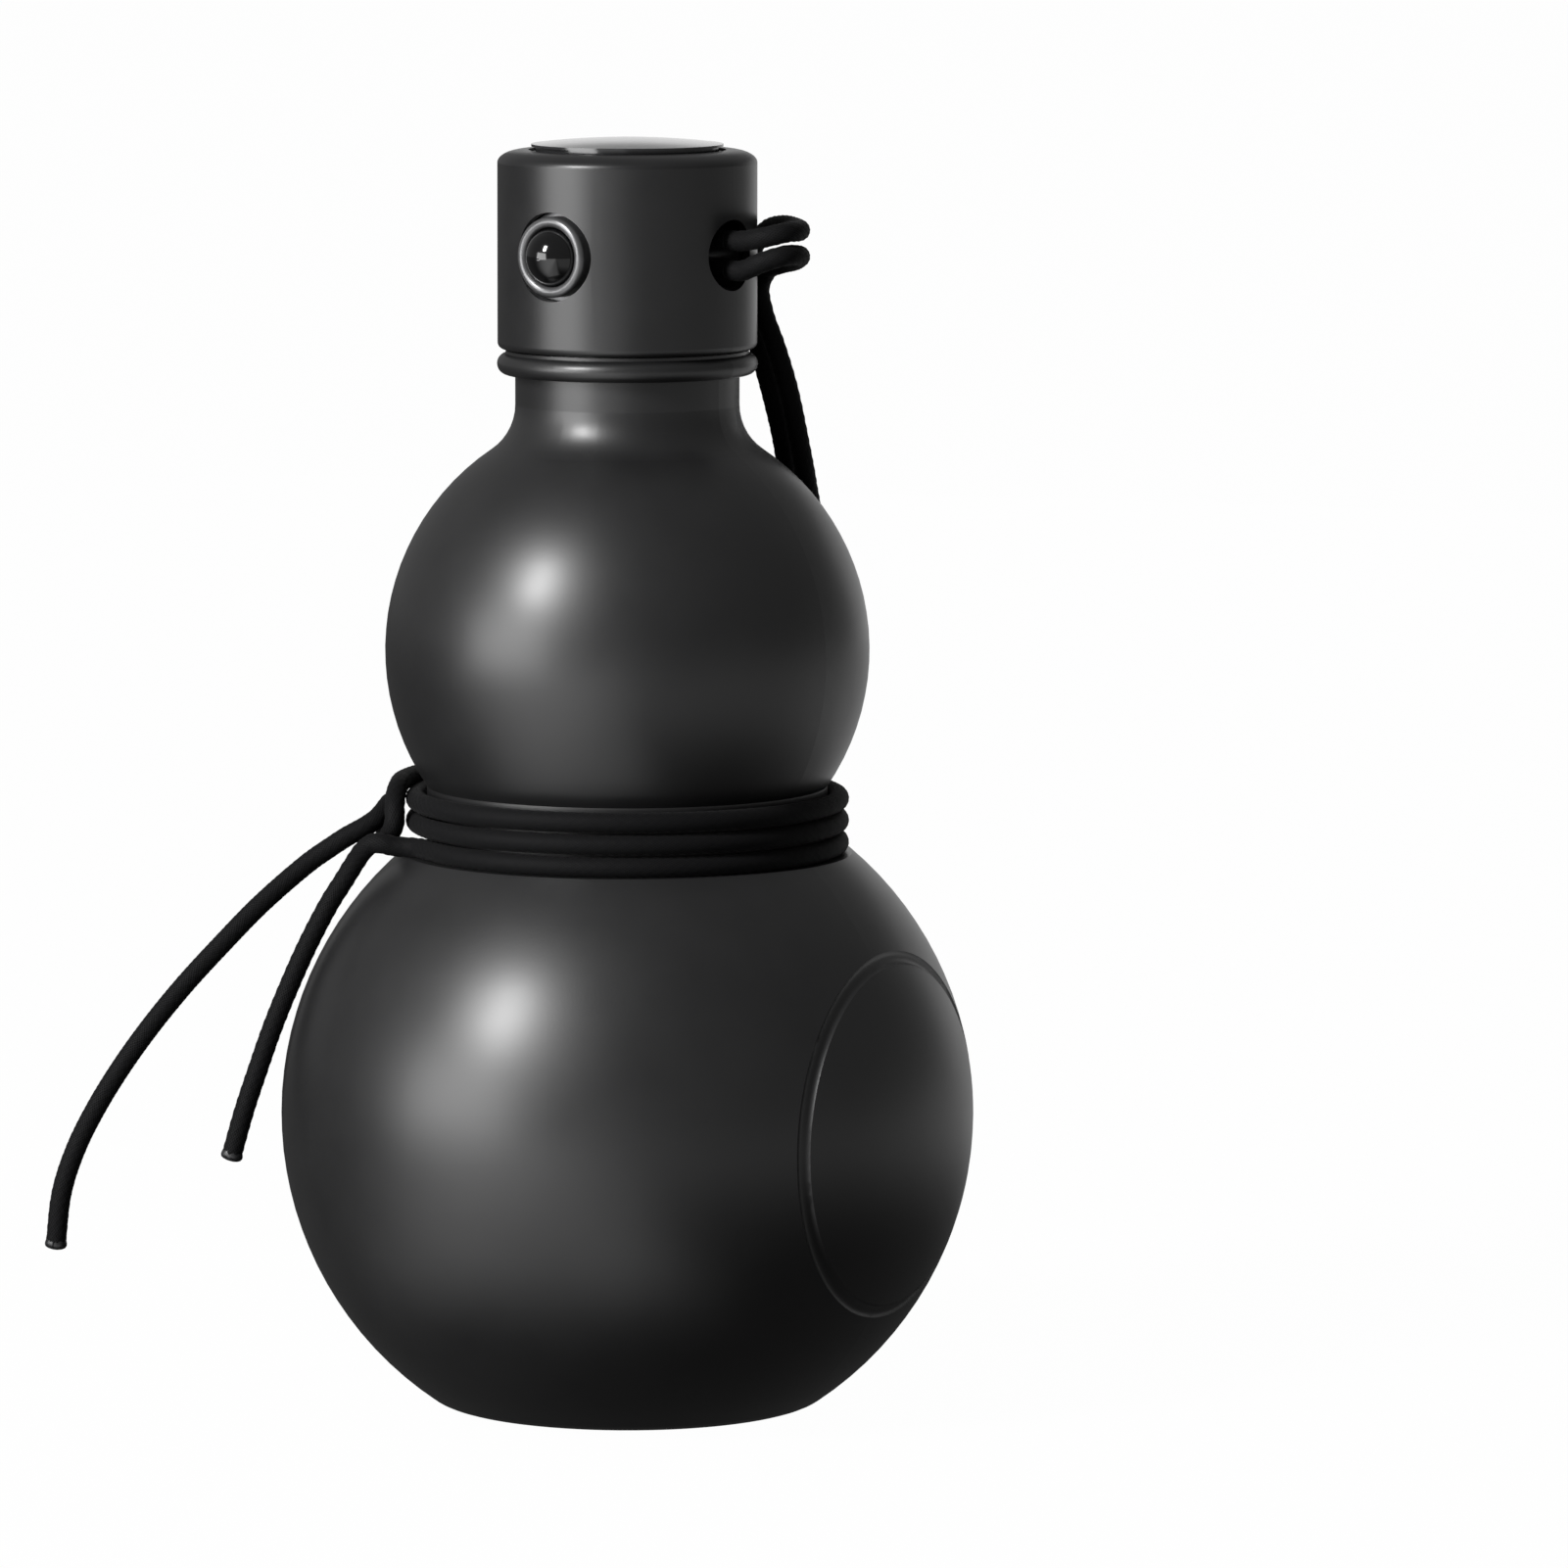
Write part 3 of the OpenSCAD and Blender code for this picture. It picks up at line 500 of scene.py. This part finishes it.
# %% The finishes
finish = {
    "powder_coat": grained(
        "black_powder_coat", (0.007, 0.007, 0.0073), (0.009, 0.009, 0.0093),
        0.4, 0.05, 2200, 0.00002, 0.3, Specular_IOR_Level=0.5, Coat_Weight=0.12,
        Coat_Roughness=0.28,
    ),
    "cap_plastic": grained(
        "black_cap_plastic", (0.0075, 0.0075, 0.0078), (0.0095, 0.0095, 0.0098),
        0.36, 0.05, 3200, 0.00001, 0.25, Specular_IOR_Level=0.5,
    ),
    "lid_satin": grained(
        "satin_lid", (0.016, 0.016, 0.017), (0.02, 0.02, 0.021),
        0.16, 0.03, 3200, 0.000004, 0.15, Specular_IOR_Level=0.55,
    ),
    "core_plastic": grained(
        "dark_core_plastic", (0.03, 0.03, 0.031), (0.042, 0.042, 0.043),
        0.48, 0.08, 2600, 0.00002, 0.35,
    ),
    "bezel": grained(
        "satin_button_ring", (0.1, 0.1, 0.102), (0.13, 0.13, 0.133),
        0.34, 0.06, 4200, 0.000008, 0.3, Metallic=0.6,
    ),
    "button_gloss": grained(
        "polished_button", (0.002, 0.002, 0.0022), (0.003, 0.003, 0.0032),
        0.1, 0.03, 900, 0.000002, 0.1, Specular_IOR_Level=0.5,
    ),
    "steel": grained(
        "brushed_steel", (0.5, 0.505, 0.51), (0.62, 0.625, 0.63),
        0.3, 0.12, 1400, 0.00001, 0.3, Metallic=1.0,
    ),
    "spring_steel": grained(
        "spring_steel", (0.5, 0.5, 0.51), (0.66, 0.66, 0.67),
        0.24, 0.08, 2600, 0.00001, 0.2, Metallic=1.0,
    ),
    "getter": grained(
        "getter_metal", (0.13, 0.13, 0.135), (0.22, 0.22, 0.225),
        0.6, 0.1, 1800, 0.00004, 0.6, Metallic=0.8,
    ),
    "braze": grained(
        "braze_metal", (0.55, 0.38, 0.12), (0.7, 0.5, 0.18),
        0.32, 0.1, 1800, 0.00002, 0.4, Metallic=1.0,
    ),
    "silicone": grained(
        "white_silicone", (0.68, 0.68, 0.65), (0.76, 0.76, 0.73),
        0.45, 0.06, 900, 0.00002, 0.2, Subsurface_Weight=0.2, Subsurface_Scale=0.002,
    ),
    "pad_rubber": grained(
        "foot_rubber", (0.02, 0.02, 0.02), (0.03, 0.03, 0.03),
        0.75, 0.08, 1500, 0.00005, 0.6,
    ),
    "cord": black_braid,
}
melted = grained(
    "melted_cord", (0.006, 0.006, 0.0065), (0.012, 0.012, 0.013),
    0.42, 0.2, 900, 0.00005, 0.6,
)
for end in (end_front, end_back):
    end.data.materials.append(melted)

# %% [markdown]
# Each CAD piece names its slot in the record, so its finish is looked up there.

# %% Finishes on the CAD pieces
for part in frame["record"]["subparts"]:
    piece = frame["nodes"].get(part["node"])
    if piece is None or part["material_slot"] == "cord":
        continue
    piece.data.materials.clear()
    piece.data.materials.append(finish[part["material_slot"]])

# %% [markdown]
# ## The springs
# The button's return spring and the lid's small torsion spring are plain sleeves in the CAD
# model. Here each is a coil of round wire. Geometry Nodes make it, because a coil follows a
# rule: a spiral swept with a circle, with the turns, radius and length as named inputs.


# %% A coil from Geometry Nodes
def coil_tree():
    tree = bpy.data.node_groups.new("wire_coil", "GeometryNodeTree")
    face = tree.interface
    face.new_socket(name="Geometry", in_out="INPUT", socket_type="NodeSocketGeometry")
    for name, value in (("Turns", 5.0), ("Radius", 0.0025), ("Length", 0.002), ("Wire Radius", 0.0002)):
        face.new_socket(name=name, in_out="INPUT", socket_type="NodeSocketFloat").default_value = value
    face.new_socket(name="Finish", in_out="INPUT", socket_type="NodeSocketMaterial")
    face.new_socket(name="Geometry", in_out="OUTPUT", socket_type="NodeSocketGeometry")
    start = node(tree, "NodeGroupInput", (-900, 0))
    end = node(tree, "NodeGroupOutput", (500, 0))
    spiral = node(tree, "GeometryNodeCurveSpiral", (-600, 100))
    spiral.inputs["Resolution"].default_value = 28
    tree.links.new(start.outputs["Turns"], spiral.inputs["Rotations"])
    tree.links.new(start.outputs["Radius"], spiral.inputs["Start Radius"])
    tree.links.new(start.outputs["Radius"], spiral.inputs["End Radius"])
    tree.links.new(start.outputs["Length"], spiral.inputs["Height"])
    wire = node(tree, "GeometryNodeCurvePrimitiveCircle", (-600, -200))
    wire.inputs["Resolution"].default_value = 10
    tree.links.new(start.outputs["Wire Radius"], wire.inputs["Radius"])
    sweep = node(tree, "GeometryNodeCurveToMesh", (-350, 0))
    sweep.inputs["Fill Caps"].default_value = True
    tree.links.new(spiral.outputs["Curve"], sweep.inputs["Curve"])
    tree.links.new(wire.outputs["Curve"], sweep.inputs["Profile Curve"])
    smooth = node(tree, "GeometryNodeSetShadeSmooth", (-150, 0))
    tree.links.new(sweep.outputs["Mesh"], smooth.inputs["Geometry"])
    real = node(tree, "GeometryNodeRealizeInstances", (50, 0))
    tree.links.new(smooth.outputs["Geometry"], real.inputs["Geometry"])
    paint = node(tree, "GeometryNodeSetMaterial", (250, 0))
    tree.links.new(real.outputs["Geometry"], paint.inputs["Geometry"])
    tree.links.new(start.outputs["Finish"], paint.inputs["Material"])
    tree.links.new(paint.outputs["Geometry"], end.inputs["Geometry"])
    return tree


wire_coil = coil_tree()


def coil(name, centre, axis, turns, radius, length, wire):
    """A coil about an axis through its centre, as a plain mesh in place."""
    mesh = bpy.data.meshes.new(name + "_seed")
    seed = bpy.data.objects.new(name + "_seed", mesh)
    bpy.context.collection.objects.link(seed)
    modifier = seed.modifiers.new("coil", "NODES")
    modifier.node_group = wire_coil
    given = {
        "Turns": float(turns),
        "Radius": radius,
        "Length": length - 2 * wire,
        "Wire Radius": wire,
        "Finish": finish["spring_steel"],
    }
    for item in wire_coil.interface.items_tree:
        if item.in_out == "INPUT" and item.name in given:
            modifier[item.identifier] = given[item.name]
    bpy.context.view_layer.update()
    graph = bpy.context.evaluated_depsgraph_get()
    made = bpy.data.meshes.new_from_object(seed.evaluated_get(graph))
    bpy.data.objects.remove(seed)
    made.name = name
    turn = Vector(axis).to_track_quat("Z", "Y").to_matrix().to_4x4()
    for v in made.vertices:
        v.co = turn @ (v.co - Vector((0, 0, length / 2 - wire))) + Vector(centre)
    made.update()
    piece = bpy.data.objects.new(name, made)
    bpy.context.collection.objects.link(piece)
    print(name, len(made.polygons), "faces")
    return piece


def centre_and_size(cad_node):
    low, high = (Vector(c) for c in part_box(cad_node))
    return (low + high) / 2, high - low


spot, size = centre_and_size("button_spring")
button_coil = coil("button_coil", spot, (0, 1, 0), 3.5, size.x / 2 - 0.25 * MM, size.y, 0.22 * MM)
spot, size = centre_and_size("lid_spring")
lid_coil = coil("lid_coil", spot, (1, 0, 0), 5, size.z / 2 - 0.24 * MM, size.x, 0.22 * MM)

# %% [markdown]
# ## Joining the pieces to the bodies
# The springs and the cord's loop move with the cap, and the cord's melted ends with the
# bottle. The two cords, which run from the cap down to the waist and on to the tails, are
# set in place in the frame and joined to no body.

# %% Bodies and cords; the slot column is not read
for piece, body, slot_name, stands_for in (
    (button_coil, "cap", "spring_steel", ["button_spring"]),
    (lid_coil, "cap", "spring_steel", ["lid_spring"]),
    (cord_loop, "cap", "cord", ["cord_bight"]),
    (end_front, "bottle", "cord", []),
    (end_back, "bottle", "cord", []),
):
    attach(piece, body)
    if stands_for:
        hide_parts(*stands_for)
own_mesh(button_coil)

for cord, stands_for in (
    (cord_front, ["cord_strand_outer", "cord_waist_turns", "cord_tail_short"]),
    (cord_back, ["cord_strand_inner", "cord_back_run", "cord_knot", "cord_tail_long"]),
):
    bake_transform(cord)
    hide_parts(*stands_for)

# %% [markdown]
# ## The studio
# The picture's background is plain white and the bottle is black, so the floor and the world
# are white to the camera alone and a calm grey to the lamps' light. The two bright spots on
# each bulb give the lamps' directions: a ball shows a lamp where its surface faces halfway
# between the lamp and the camera.


# %% Lamps
def softbox(name, to_right, to_up, to_camera, distance, width, height, power):
    """An area lamp in a direction told from the camera, turned to the bottle."""
    way = (right * to_right + up * to_up - into * to_camera).normalized()
    lamp = bpy.data.lights.new(name, "AREA")
    lamp.shape = "RECTANGLE"
    lamp.size = width
    lamp.size_y = height
    lamp.energy = power
    holder = bpy.data.objects.new(name, lamp)
    bpy.context.collection.objects.link(holder)
    holder.location = AIM + way * distance
    holder.rotation_euler = (-way).to_track_quat("-Z", "Y").to_euler()
    holder.visible_camera = False
    return holder


softbox("key_softbox", -0.613, 0.47, 0.588, 1.6, 0.3, 0.5, 33)
softbox("left_softbox", -0.86, -0.3, 0.5, 1.5, 1.1, 1.8, 50)
softbox("back_softbox", 0.33, 0.15, -0.93, 1.6, 1.4, 0.8, 2.0)
softbox("lid_softbox", 0.0, 0.3, -0.954, 1.6, 0.3, 0.6, 0.2)


# %% Floor and world
def rise(tree, value, low, high, top=1.0):
    """A smooth rise of a value from 0 at one place to its top at another."""
    ramp = node(tree, "ShaderNodeMapRange", (-900, -400), interpolation_type="SMOOTHSTEP")
    ramp.inputs["From Min"].default_value = low
    ramp.inputs["From Max"].default_value = high
    ramp.inputs["To Min"].default_value = 0
    ramp.inputs["To Max"].default_value = top
    tree.links.new(value, ramp.inputs["Value"])
    return ramp.outputs["Result"]


def maths(tree, operation, first, second):
    """One step of arithmetic on two sockets, or on a socket and a number."""
    step = node(tree, "ShaderNodeMath", (-600, -400), operation=operation)
    for socket, value in zip(step.inputs, (first, second)):
        if isinstance(value, (int, float)):
            socket.default_value = value
        else:
            tree.links.new(value, socket)
    return step.outputs[0]


# The floor's glow in the bottle's reflections is painted light and painted shadow, not light from the
# lamps.
def painted_floor_light(tree):
    """Painted light and shade on the floor, seen only in the gloss: a painted pool of light in front on
    the left, painted shadow under the bottle.
    """
    spot = node(tree, "ShaderNodeNewGeometry", (-1500, -400)).outputs["Position"]
    measures = []
    for operation, way in (("DOT_PRODUCT", right), ("DOT_PRODUCT", -into), ("LENGTH", None)):
        measure = node(tree, "ShaderNodeVectorMath", (-1300, -400), operation=operation)
        tree.links.new(spot, measure.inputs[0])
        if way is not None:
            measure.inputs[1].default_value = way
        measures.append(measure.outputs["Value"])
    across, nearer, away = measures
    # Painted pool of light in front of the bottle on the left. It falls to nothing near the foot as
    # painted shadow and is brighter still on the lamp side.
    painted_pool = maths(tree, "MULTIPLY", rise(tree, away, 0.052, 0.095), rise(tree, across, 0.04, -0.01))
    painted_lamp_side = maths(tree, "ADD", rise(tree, across, -0.02, -0.15), 1.0)
    painted_pool = maths(tree, "MULTIPLY", painted_pool, painted_lamp_side)
    in_front = rise(tree, maths(tree, "DIVIDE", nearer, away), 0.0, 0.9)
    painted_pool = maths(tree, "MULTIPLY", painted_pool, in_front)
    # Painted fill light: a dimmer glow further out to the right.
    painted_fill = maths(tree, "MULTIPLY", rise(tree, away, 0.1, 0.35, 0.55), rise(tree, across, -0.05, 0.1))
    both = maths(tree, "MULTIPLY", maths(tree, "MAXIMUM", painted_pool, painted_fill), rise(tree, away, 5.0, 1.0))
    return maths(tree, "ADD", both, 0.07)


def white_floor():
    material = bpy.data.materials.new("white_floor")
    material.use_nodes = True
    tree = material.node_tree
    tree.nodes.remove(tree.nodes["Principled BSDF"])
    out = tree.nodes["Material Output"]
    matt = node(tree, "ShaderNodeBsdfDiffuse", (-400, 100))
    matt.inputs["Color"].default_value = (0.06, 0.06, 0.06, 1)
    glow = node(tree, "ShaderNodeEmission", (-400, -100))
    mix = node(tree, "ShaderNodeMixShader", (-150, 0))
    path = node(tree, "ShaderNodeLightPath", (-700, 200))
    camera, gloss = path.outputs["Is Camera Ray"], path.outputs["Is Glossy Ray"]
    to_camera = maths(tree, "MULTIPLY", camera, 1.12)
    # Gloss rays see the floor glow with the painted light and shadow; camera rays see an evenly white
    # floor.
    to_gloss = maths(tree, "MULTIPLY", gloss, painted_floor_light(tree))
    tree.links.new(maths(tree, "ADD", to_camera, to_gloss), glow.inputs["Strength"])
    share = maths(tree, "ADD", maths(tree, "MULTIPLY", camera, 0.88), gloss)
    tree.links.new(share, mix.inputs["Fac"])
    tree.links.new(matt.outputs["BSDF"], mix.inputs[1])
    tree.links.new(glow.outputs["Emission"], mix.inputs[2])
    tree.links.new(mix.outputs["Shader"], out.inputs["Surface"])
    return material


floor_mesh = bpy.data.meshes.new("floor")
FLOOR = 6.0
floor_mesh.from_pydata(
    [(-FLOOR, -FLOOR, 0), (FLOOR, -FLOOR, 0), (FLOOR, FLOOR, 0), (-FLOOR, FLOOR, 0)],
    [],
    [(0, 1, 2, 3)],
)
floor = bpy.data.objects.new("floor", floor_mesh)
bpy.context.collection.objects.link(floor)
floor_mesh.materials.append(white_floor())

world = bpy.data.worlds.new("studio")
bpy.context.scene.world = world
world.use_nodes = True
sky = world.node_tree
background = sky.nodes["Background"]
background.inputs["Color"].default_value = (1, 1, 1, 1)
seen = node(sky, "ShaderNodeLightPath", (-700, 0))
strength = node(sky, "ShaderNodeMapRange", (-400, 0))
strength.inputs["To Min"].default_value = 0.22
strength.inputs["To Max"].default_value = 1.0
sky.links.new(seen.outputs["Is Camera Ray"], strength.inputs["Value"])
sky.links.new(strength.outputs["Result"], background.inputs["Strength"])
